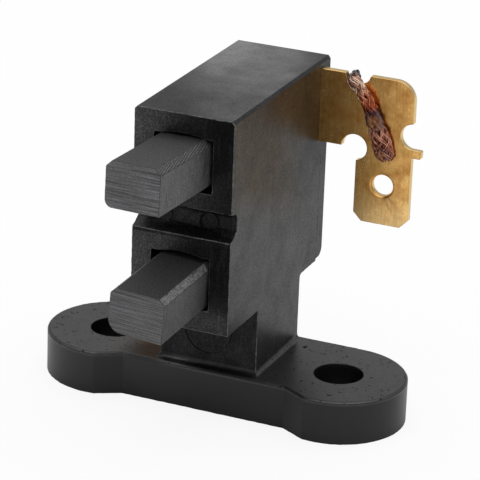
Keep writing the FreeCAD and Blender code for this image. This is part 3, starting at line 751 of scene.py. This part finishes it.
def part_flat_faces(piece, worn_slot):
    """Marks where large flat faces and worn edges end, so that no shading runs from one to the other."""
    shape = start_editing(piece, "EDGE")
    for edge in shape.edges:
        if len(edge.link_faces) != 2:
            continue
        first, second = edge.link_faces
        worn = (first.material_index == worn_slot) != (second.material_index == worn_slot)
        large = max(first.calc_area(), second.calc_area()) > 20 * MM * MM
        if worn or (large and edge.calc_face_angle() > math.radians(0.5)):
            edge.smooth = False
    bmesh.update_edit_mesh(piece.data)
    bpy.ops.object.mode_set(mode="OBJECT")


def smooth(piece, angle_deg=32, worn_slot=WORN):
    """Smooth shading with sharp creases kept, and flat faces kept flat beside rounded edges."""
    part_flat_faces(piece, worn_slot)
    split_large_faces(piece)
    choose(piece)
    bpy.ops.object.shade_smooth_by_angle(angle=math.radians(angle_deg))
    modifier = piece.modifiers.new("flat_faces", "WEIGHTED_NORMAL")
    modifier.keep_sharp = True
    modifier.weight = 60
    bpy.ops.object.modifier_apply(modifier=modifier.name)


def finish_piece(piece, body, nodes):
    """Puts a piece on its body, in the place of its CAD nodes."""
    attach(piece, body)
    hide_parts(*nodes)


def in_band(value, band):
    """Whether a value is inside a band, its two ends given in order."""
    return band[0] < value < band[1]


def is_worn_edge(edge):
    """Whether an outer edge of the moulding is worn: not those of its mating and chamfered faces."""
    middle = (edge.verts[0].co + edge.verts[1].co) / 2
    along_the_seam = all(abs(vertex.co.y - BLOCK_REAR) < 0.01 * MM for vertex in edge.verts)
    if along_the_seam and middle.z > BLOCK_TOP - 1 * MM:
        return False
    behind_the_front = middle.y > BLOCK_FRONT + 0.1 * MM and abs(middle.x) < BLOCK_RIGHT - 0.1 * MM
    if behind_the_front and (in_band(middle.z, NECK_BAND) or in_band(middle.z, GROOVE_BAND)):
        return False
    least_deg = 40 if middle.z < FOOT_TOP + 0.1 * MM else 50
    return is_corner(edge, least_deg)


def lean_ejector_marks(piece):
    """Leans the walls of the ejector marks outward, most at the lower left, so that the painted shade on
    them shows as a dark crescent.
    """
    for vertex in piece.data.vertices:
        for x, y, z, radius, lean in EJECTOR_MARKS:
            out = Vector((vertex.co.x - x * MM, 0, vertex.co.z - z * MM))
            if abs(vertex.co.y - y * MM) > 0.01 * MM or abs(out.length - radius * MM) > 0.05 * MM:
                continue
            out.normalize()
            low_left = max(0.0, out.dot(LOW_LEFT) + 0.1)
            vertex.co += out * (0.02 + 0.9 * low_left) * lean * MM


def make_moulding(node, name, seed):
    """A moulded part: rounded outer edges, uneven where its flash was broken off."""
    sizes = bpy.context.scene.moulding
    piece = merged_copy(node, name)
    for finish in (moulded_phenolic, flashed_edge_and_highlight, recess_painted_shade):
        piece.data.materials.append(shared(finish))
    divide_edges(piece, sizes.edge_step, is_worn_edge)
    round_edges(piece, sizes.edge_width, is_worn_edge)
    crumble_edges(piece, sizes.edge_step, sizes.edge_wear, seed)
    # Small walls in the front hollows, except those facing up and to the right, get the black painted shade.
    for face in piece.data.polygons:
        hollow = in_band(face.center.z, NECK_BAND) or in_band(face.center.z, GROOVE_BAND)
        low_left = face.normal.dot(LOW_LEFT) > -0.35
        small = face.area < 0.6 * MM * MM and abs(face.normal.y) < 0.8
        if hollow and face.center.y < 0 and small and low_left:
            face.material_index = SHADED_RECESS
    lean_ejector_marks(piece)
    smooth(piece)
    finish_piece(piece, "holder", [node])


class BRUSHHOLDER_OT_moulding(bpy.types.Operator):
    """Makes the moulded holder and its rear cover"""

    bl_idname = "brush_holder.moulding"
    bl_label = "Moulded Holder and Cover"

    def execute(self, context):
        make_moulding("holder_body", "holder_moulding", 3)
        make_moulding("rear_cover", "cover_moulding", 5)
        return {"FINISHED"}


class BRUSHHOLDER_OT_brushes(bpy.types.Operator):
    """Makes the two carbon brushes"""

    bl_idname = "brush_holder.brushes"
    bl_label = "Carbon Brushes"

    def execute(self, context):
        sizes = context.scene.brushes
        for name, facts in SETS.items():
            piece = merged_copy(name + "_brush", name + "_brush_carbon")
            turn = brush_turn(name)
            if name == "upper":
                filed = {
                    "stretch": (1.0, 1.0, 1.0), "low": "#080808", "high": "#585859",
                    "line_depth": 0.06 * MM, "teeth": (0.24 * MM, TOOTH_TURN),
                }
                flat = ("#121213", "#202021")
            else:
                filed = {
                    "stretch": (0.6, 0.5, 0.6), "low": "#303030", "high": "#8a8a8a",
                    "line_depth": 0.05 * MM,
                }
                flat = ("#1a1a1b", "#2e2e2f")
            finishes = [
                carbon_graphite(name, "ground", (1.0, 1.0, 0.12), "#2c2c2d", "#525253", 0.54, 0.02 * MM),
                carbon_graphite(name, "edge", (1.0, 1.0, 1.0), "#151516", "#2c2c2d", 0.75, 0.03 * MM),
                carbon_graphite(
                    name, "sawn", (0.015, 1.0, 1.0), "#141414", "#57575a", 0.55, 0.04 * MM,
                    graininess=0.25, crisp=0.11,
                ),
                carbon_graphite(name, "filed", roughness=0.6, **filed),
                # The top's finish is a darker copy of the ground one: painted shade, as the top gets the
                # most light.
                carbon_graphite(name, "top", (1.0, 0.3, 1.0), *flat, 0.62, 0.008 * MM),
            ]
            for finish in finishes:
                piece.data.materials.append(finish)
            divide_edges(piece, sizes.edge_step, lambda edge: is_corner(edge, 30))
            round_edges(piece, sizes.edge_width, lambda edge: is_corner(edge, 30))
            for face in piece.data.polygons:
                own = turn.inverted() @ face.normal
                if face.material_index == WORN:
                    continue
                if own.y < -0.9:
                    face.material_index = SAWN
                elif own.z > 0.9:
                    face.material_index = TOP
                elif own.z > 0.5 and own.x > 0:
                    face.material_index = FILED
            crumble_edges(piece, sizes.edge_step, sizes.edge_wear, facts["seed"])
            smooth(piece)
            finish_piece(piece, name + "_brush", [name + "_brush"])
        return {"FINISHED"}


class BRUSHHOLDER_OT_terminals(bpy.types.Operator):
    """Makes the two stamped brass terminals"""

    bl_idname = "brush_holder.terminals"
    bl_label = "Brass Terminals"

    def execute(self, context):
        for name, facts in SETS.items():
            piece = merged_copy(name + "_terminal", name + "_terminal_brass")
            piece.data.materials.append(stamped_brass(name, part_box(name + "_terminal")[0].z))
            piece.data.materials.append(shared(sheared_brass))
            die_roll = context.scene.metalwork.die_roll
            round_edges(piece, die_roll, lambda edge: is_corner(edge, 50), segments=3, worn_slot=0)
            for face in piece.data.polygons:
                if abs(face.normal.y) < 0.5:
                    face.material_index = SHEARED
            smooth(piece, worn_slot=None)
            finish_piece(piece, "holder", [name + "_terminal"])
        return {"FINISHED"}


def wires_to_mesh(name, lines, radius, material):
    """One mesh of round wires, each along its own line of points."""
    data = bpy.data.curves.new(name, "CURVE")
    data.dimensions = "3D"
    data.bevel_depth = radius
    data.bevel_resolution = 1
    data.use_fill_caps = True
    for line in lines:
        spline = data.splines.new("POLY")
        spline.points.add(len(line) - 1)
        for place, point in zip(spline.points, line):
            place.co = (*point, 1)
    piece = bpy.data.objects.new(name, data)
    bpy.context.scene.collection.objects.link(piece)
    choose(piece)
    bpy.ops.object.convert(target="MESH")
    start_editing(piece, "VERT")
    bpy.ops.mesh.select_all(action="SELECT")
    bpy.ops.mesh.remove_doubles(threshold=0.0005 * MM)
    bpy.ops.mesh.normals_make_consistent(inside=False)
    bpy.ops.object.mode_set(mode="OBJECT")
    piece.data.materials.clear()
    piece.data.materials.append(material)
    bpy.ops.object.shade_smooth_by_angle(angle=math.radians(60))
    return piece


def spring_line(low, high, wire, turns):
    """Line of a compression spring along Y between two corners, closed at both ends."""
    centre = (low + high) / 2
    radius = (high.x - low.x) / 2 - wire / 2
    start = low.y + wire / 2
    length = high.y - low.y - wire
    closed_length = wire * CLOSED_PITCH
    steps = int(turns * STEPS_PER_TURN)
    points = []
    for index in range(steps + 1):
        turn = turns * index / steps
        if turn < CLOSED_TURNS:
            reach = closed_length * turn / CLOSED_TURNS
        elif turn > turns - CLOSED_TURNS:
            reach = length - closed_length * (turns - turn) / CLOSED_TURNS
        else:
            share = (turn - CLOSED_TURNS) / (turns - 2 * CLOSED_TURNS)
            reach = closed_length + share * (length - 2 * closed_length)
        angle = math.tau * turn
        points.append(
            Vector((centre.x + radius * math.cos(angle), start + reach, centre.z + radius * math.sin(angle)))
        )
    return points


class BRUSHHOLDER_OT_springs(bpy.types.Operator):
    """Makes the two springs"""

    bl_idname = "brush_holder.springs"
    bl_label = "Springs"

    def execute(self, context):
        sizes = context.scene.metalwork
        steel = spring_steel()
        for name in SETS:
            low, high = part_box(name + "_spring")
            line = spring_line(low, high, sizes.spring_wire, sizes.spring_turns)
            piece = wires_to_mesh(name + "_spring_coil", [line], sizes.spring_wire / 2, steel)
            finish_piece(piece, "holder", [name + "_spring"])
            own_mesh(piece)
        return {"FINISHED"}


def spline_points(points):
    """Points along the smooth NURBS line that has these control points."""
    data = bpy.data.curves.new("route", "CURVE")
    data.dimensions = "3D"
    data.resolution_u = 16
    spline = data.splines.new("NURBS")
    spline.points.add(len(points) - 1)
    for place, point in zip(spline.points, points):
        place.co = (*point, 1)
    spline.order_u = 3
    spline.use_endpoint_u = True
    drawn = bpy.data.objects.new("route", data)
    mesh = bpy.data.meshes.new_from_object(drawn)
    line = [vertex.co.copy() for vertex in mesh.vertices]
    bpy.data.objects.remove(drawn)
    bpy.data.curves.remove(data)
    bpy.data.meshes.remove(mesh)
    return line


def even_points(line, step):
    """The same line as points an even distance apart."""
    reached = [0.0]
    for before, after in zip(line, line[1:]):
        reached.append(reached[-1] + (after - before).length)
    count = max(2, round(reached[-1] / step))
    points = []
    place = 0
    for index in range(count + 1):
        goal = reached[-1] * index / count
        while place < len(line) - 2 and reached[place + 1] < goal:
            place += 1
        span = reached[place + 1] - reached[place]
        share = (goal - reached[place]) / span if span > 0 else 0.0
        points.append(line[place].lerp(line[place + 1], share))
    return points


def carried_frames(points, last_across):
    """Tangent, across and depth at each point, carried without twist back from the last point."""
    tangents = []
    for index in range(len(points)):
        before = points[max(index - 1, 0)]
        after = points[min(index + 1, len(points) - 1)]
        tangents.append((after - before).normalized())
    across = last_across - tangents[-1] * last_across.dot(tangents[-1])
    frames = [None] * len(points)
    for index in range(len(points) - 1, -1, -1):
        across = across - tangents[index] * across.dot(tangents[index])
        across.normalize()
        frames[index] = (tangents[index], across.copy(), tangents[index].cross(across))
    return frames


def ease(value, low, high):
    """0 below low, 1 above high, and smooth between them."""
    share = min(max((value - low) / (high - low), 0.0), 1.0)
    return share * share * (3 - 2 * share)


def lead_section(from_end):
    """Half width and half depth of a braid at a distance from its frayed end."""
    reach = from_end / MM
    last = LEAD_SECTIONS[-1]
    if reach >= last[0]:
        return last[1] * MM, last[2] * MM
    for before, after in zip(LEAD_SECTIONS, LEAD_SECTIONS[1:]):
        if reach <= after[0]:
            share = ease(reach, before[0], after[0])
            width = before[1] + (after[1] - before[1]) * share
            depth = before[2] + (after[2] - before[2]) * share
            return width * MM, depth * MM


def within_the_end(across, from_end, slack):
    """Whether a wire still runs on here: the braid's frayed end is rounded."""
    if from_end >= LEAD_END_ROUND:
        return True
    half_width = lead_section(from_end)[0]
    rest = 1 - from_end / LEAD_END_ROUND
    return abs(across) <= half_width * math.sqrt(max(0.0, 1 - rest * rest)) + slack


def braid_wires(points, frames, sizes, seed):
    """Lines of all the wires of a braid: two layers of roped strands that pass over and under."""
    chance = random.Random(seed)
    step = (points[1] - points[0]).length
    total = step * (len(points) - 1)
    rate = math.tau / sizes.lay
    inset = sizes.strand_width / 2
    rope = inset - sizes.wire / 2
    lines = []
    for way in (1, -1):
        for strand in range(sizes.strands):
            wobble = chance.uniform(0, math.tau)
            for wire in range(sizes.wires_per_strand):
                place = math.tau * wire / sizes.wires_per_strand + wobble
                loose = chance.uniform(0.8, 1.25)
                slack = chance.uniform(-0.18, 0.05) * MM
                cut = chance.uniform(0.0, 0.25 * MM)
                line = []
                for index, (point, (_, across, depth)) in enumerate(zip(points, frames)):
                    reached = step * index
                    from_end = total - reached
                    half_width, half_depth = lead_section(from_end)
                    flat = half_depth / half_width
                    angle = math.tau * strand / sizes.strands + way * rate * reached
                    angle += WANDER * math.sin(reached / WANDER_LENGTH + wobble)
                    lift = way * math.cos(sizes.strands * rate * reached) * sizes.wire * 0.9 * flat
                    turn = place + way * reached * math.tau / ROPE_LAY
                    frayed = 1 + FRAY * (1 - ease(from_end, *FRAY_REACH))
                    out = rope * loose * math.cos(turn) * (0.25 + 0.75 * flat)
                    aside = rope * loose * math.sin(turn) * frayed
                    wide = half_width - inset + lift
                    deep = max(half_depth - inset * (0.3 + 0.7 * flat), 0.04 * MM) + lift
                    sideways = (wide + out) * math.cos(angle) - aside * math.sin(angle)
                    upward = (deep + out) * math.sin(angle) + aside * flat * math.cos(angle)
                    if from_end < cut or not within_the_end(sideways, from_end, slack):
                        break
                    line.append(point + across * sideways + depth * upward)
                lines.append(line)
    return lines


def core_wires(points, frames, sizes):
    """Lines of the straight wires inside a braid."""
    step = (points[1] - points[0]).length
    total = step * (len(points) - 1)
    lines = []
    for wire in range(sizes.core_wires):
        start = math.tau * wire / sizes.core_wires
        line = []
        for index, (point, (_, across, depth)) in enumerate(zip(points, frames)):
            from_end = total - step * index
            if from_end < 0.5 * MM:
                break
            half_width, half_depth = lead_section(from_end)
            angle = start + step * index * math.tau / (3 * sizes.lay)
            line.append(
                point
                + across * (half_width * 0.62 * math.cos(angle))
                + depth * (half_depth * 0.4 * math.sin(angle))
            )
        lines.append(line)
    return lines


def split_lines(lines, level):
    """The same lines, cut in two where they first pass behind a level of Y."""
    inner = []
    outer = []
    for line in lines:
        place = next(index for index, point in enumerate(line) if point.y > level)
        inner.append(line[:place + 1])
        outer.append(line[place:])
    return inner, outer


def lead_route(name):
    """Control points of a lead, from its brush's tail to its frayed end."""
    facts = SETS[name]
    side = facts["side"]
    level = facts["level"]
    blade = facts["blade"]
    rise = Vector((blade + LEAD_RISE[0] * MM, LEAD_RISE[1] * MM, LEAD_RISE[2] * MM))
    own = [Vector((0, y * MM, z * MM)) for y, z in LEAD_IN_BORE]
    own += [own[-1].lerp(rise, share) for share in LEAD_CHANNEL_SHARES]
    own.append(rise)
    own += [Vector((blade + x * MM, y * MM, z * MM)) for x, y, z in LEAD_BY_BLADE]
    return [facts["tail"]] + [Vector((side * point.x, point.y, level + point.z)) for point in own]


def mark_reach(piece, points):
    """Stores on each vertex how far it is from the lead's frayed end."""
    tree = KDTree(len(points))
    for index, point in enumerate(points):
        tree.insert(point, index)
    tree.balance()
    step = (points[1] - points[0]).length
    reach = piece.data.attributes.new("from_end", "FLOAT", "POINT")
    for vertex, value in zip(piece.data.vertices, reach.data):
        value.value = step * (len(points) - 1 - tree.find(vertex.co)[1])


def weld_patch(name, place, axes, size, dish, seed):
    """A patch of braid fused flat by the welding electrode: a lens with an uneven rim."""
    tangent, across, outward = axes
    bpy.ops.object.select_all(action="DESELECT")
    bpy.ops.mesh.primitive_uv_sphere_add(segments=48, ring_count=24, radius=1)
    piece = bpy.context.active_object
    piece.name = name
    rim = piece.data.attributes.new("rim", "FLOAT", "POINT")
    half_along, half_across, half_thick = size
    offset = Vector((seed, 2 * seed, 3 * seed))
    for vertex, value in zip(piece.data.vertices, rim.data):
        local = vertex.co.copy()
        out = math.hypot(local.x, local.y)
        value.value = out
        ragged = 1 + 0.16 * noise.noise(Vector((local.x, local.y, 0)) * 1.7 + offset)
        high = max(-0.9, min(local.z, 0.55))
        if local.z > 0:
            high += 0.30 * noise.noise(local * 2.3 - offset) - dish * (1 - ease(out, 0.45, 0.85))
        vertex.co = (
            place
            + tangent * (local.y * half_along * ragged)
            + across * (local.x * half_across * ragged)
            + outward * (high * half_thick)
        )
    choose(piece)
    bpy.ops.object.mode_set(mode="EDIT")
    bpy.ops.mesh.select_all(action="SELECT")
    bpy.ops.mesh.normals_make_consistent(inside=False)
    bpy.ops.object.mode_set(mode="OBJECT")
    bpy.ops.object.shade_smooth_by_angle(angle=math.radians(50))
    piece.data.materials.append(shared(fused_copper))
    return piece


class BRUSHHOLDER_OT_leads(bpy.types.Operator):
    """Makes the two copper braid leads"""

    bl_idname = "brush_holder.leads"
    bl_label = "Braid Leads"

    def execute(self, context):
        sizes = context.scene.leads
        copper = copper_wire()
        for name, facts in SETS.items():
            points = even_points(spline_points(lead_route(name)), LEAD_STEP)
            frames = carried_frames(points, Vector((facts["side"], 0, 0)))
            wires = braid_wires(points, frames, sizes, facts["seed"]) + core_wires(points, frames, sizes)
            inner, outer = split_lines(wires, TERMINAL_FRONT)
            run = wires_to_mesh(name + "_lead_inner", inner, sizes.wire / 2, copper)
            pieces = [run, wires_to_mesh(name + "_lead_braid", outer, sizes.wire / 2, copper)]
            for piece in pieces:
                mark_reach(piece, points)
            step = (points[1] - points[0]).length
            for patch, (from_end, shift, along, wide, thick, proud, dish) in WELD_PATCHES.items():
                index = len(points) - 1 - round(from_end * MM / step)
                tangent, across, depth = frames[index]
                outward = depth if depth.y < 0 else -depth
                place = points[index] + across * shift * MM + outward * proud * MM
                axes = (tangent, across, outward)
                size = (along * MM, wide * MM, thick * MM)
                pieces.append(weld_patch(name + "_" + patch, place, axes, size, dish, facts["seed"]))
            for piece in pieces:
                finish_piece(piece, "holder", [name + "_pigtail"])
            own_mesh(run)
        return {"FINISHED"}


def camera_axes(stage):
    """Right, up and back of the camera."""
    back = Vector((
        math.sin(stage.azimuth) * math.cos(stage.elevation),
        -math.cos(stage.azimuth) * math.cos(stage.elevation),
        math.sin(stage.elevation),
    ))
    level_right = Vector((math.cos(stage.azimuth), math.sin(stage.azimuth), 0))
    level_up = back.cross(level_right)
    cosine = math.cos(stage.roll)
    sine = math.sin(stage.roll)
    return level_right * cosine + level_up * sine, level_up * cosine - level_right * sine, back


def make_camera(stage):
    """The camera at the photograph's angle."""
    right, up, back = camera_axes(stage)
    eye = (
        Vector((0, 0, stage.aim_height))
        + back * stage.distance
        + right * stage.slide_right
        + up * stage.slide_up
    )
    data = bpy.data.cameras.new("camera")
    data.lens = stage.lens
    data.sensor_width = 36
    data.clip_start = 0.01
    data.clip_end = 50
    camera = bpy.data.objects.new("camera", data)
    bpy.context.scene.collection.objects.link(camera)
    turned = Matrix((right, up, back)).transposed().to_4x4()
    camera.matrix_world = Matrix.Translation(eye) @ turned
    bpy.context.scene.camera = camera


def make_world():
    """White to the eye; dim near the horizon and bright overhead for the object."""
    world = bpy.data.worlds.new("white_sweep")
    bpy.context.scene.world = world
    world.use_nodes = True
    tree = world.node_tree
    add = partial(add_node, tree)
    direction = add("TexCoord", output="Generated")
    upward = add("SeparateXYZ", (direction,), "Z")
    strength = add("MapRange", (upward, 0.5, 0.95, 0.46, 1.5), **EASED)
    to_eye = add("LightPath", output="Is Camera Ray")
    shown = add("Mix", (to_eye, strength, 1.0))
    set_inputs(tree.nodes["Background"], {"Color": "#ffffff", "Strength": shown})


def make_floor(stage):
    """Pale floor that stays white to the eye and keeps the object's soft shadow."""
    bpy.ops.object.select_all(action="DESELECT")
    bpy.ops.mesh.primitive_plane_add(size=stage.floor_size, location=(0, 0, 0))
    floor = bpy.context.active_object
    floor.name = "floor"
    made = bpy.data.materials.new("matt_paper")
    made.use_nodes = True
    tree = made.node_tree
    tree.nodes.remove(tree.nodes["Principled BSDF"])
    add = partial(add_node, tree)
    place = add("TexCoord", output="Object")
    rearward = add("VectorMath", (place, (0.4, 0.9, 0.0)), operation="DOT_PRODUCT")
    # Painted shade: the paper is a little darker towards the rear and right.
    pale = add("MapRange", (rearward, -40 * MM, 60 * MM, 0.95, 0.90), **EASED)
    paper = add("BsdfDiffuse", (pale,))
    white = add("BsdfDiffuse", ("#ffffff",))
    glow = add("Emission", ("#ffffff", 1.0))
    seen = add("MixShader", (FLOOR_GLOW, white, glow))

    # Glossy rays see the floor glow in front of the object at its left, a painted reflection, and plain
    # paper elsewhere.
    in_front = add("MapRange", (rearward, -23 * MM, -12 * MM, 0.95, 0.0), **EASED)
    across = add("SeparateXYZ", (place,))
    at_left = add("MapRange", (across, 2 * MM, 16 * MM, 1.0, 0.0), **EASED)
    painted_reflection_share = add("Math", (in_front, at_left), operation="MULTIPLY")
    painted_reflection = add("MixShader", (painted_reflection_share, paper, glow))
    to_gloss = add("LightPath", output="Is Glossy Ray")
    to_eye = add("LightPath", output="Is Camera Ray")
    unseen = add("MixShader", (to_gloss, paper, painted_reflection))
    surface = add("MixShader", (to_eye, unseen, seen))
    set_inputs(tree.nodes["Material Output"], {"Surface": surface})
    floor.data.materials.append(made)


def make_lights():
    """A soft lamp close behind: the block's top gets brighter towards the rear."""
    data = bpy.data.lights.new("rear_light", "AREA")
    data.size = LAMP_SIZE
    data.energy = LAMP_POWER
    lamp = bpy.data.objects.new("rear_light", data)
    bpy.context.scene.collection.objects.link(lamp)
    lamp.location = LAMP_PLACE
    lamp.rotation_euler = (LAMP_AIM - LAMP_PLACE).to_track_quat("-Z", "Y").to_euler()


class BRUSHHOLDER_OT_stage(bpy.types.Operator):
    """Sets up the camera, the light and the floor"""

    bl_idname = "brush_holder.stage"
    bl_label = "Stage"

    def execute(self, context):
        stage = context.scene.stage
        make_camera(stage)
        make_world()
        make_floor(stage)
        make_lights()
        context.scene.view_settings.view_transform = "Standard"
        return {"FINISHED"}


class BRUSHHOLDER_PT_panel(bpy.types.Panel):
    """Lists the steps that build the brush holder"""

    bl_idname = "BRUSHHOLDER_PT_panel"
    bl_label = "Brush Holder"
    bl_space_type = "VIEW_3D"
    bl_region_type = "UI"
    bl_category = "Brush Holder"

    def draw(self, context):
        for step in STEPS:
            self.layout.operator(step.bl_idname)


SETTINGS = {
    "moulding": BRUSHHOLDER_PG_moulding,
    "brushes": BRUSHHOLDER_PG_brushes,
    "metalwork": BRUSHHOLDER_PG_metalwork,
    "leads": BRUSHHOLDER_PG_leads,
    "stage": BRUSHHOLDER_PG_stage,
}

STEPS = (
    BRUSHHOLDER_OT_stage,
    BRUSHHOLDER_OT_leads,
    BRUSHHOLDER_OT_moulding,
    BRUSHHOLDER_OT_brushes,
    BRUSHHOLDER_OT_terminals,
    BRUSHHOLDER_OT_springs,
)


def register():
    for name, group in SETTINGS.items():
        bpy.utils.register_class(group)
        setattr(bpy.types.Scene, name, bpy.props.PointerProperty(type=group))
    for step in STEPS:
        bpy.utils.register_class(step)
    bpy.utils.register_class(BRUSHHOLDER_PT_panel)


def unregister():
    bpy.utils.unregister_class(BRUSHHOLDER_PT_panel)
    for step in reversed(STEPS):
        bpy.utils.unregister_class(step)
    for name, group in reversed(SETTINGS.items()):
        delattr(bpy.types.Scene, name)
        bpy.utils.unregister_class(group)


def main():
    register()
    bpy.ops.brush_holder.stage()
    bpy.ops.brush_holder.leads()
    bpy.ops.brush_holder.moulding()
    bpy.ops.brush_holder.brushes()
    bpy.ops.brush_holder.terminals()
    bpy.ops.brush_holder.springs()


if __name__ == "__main__":
    main()
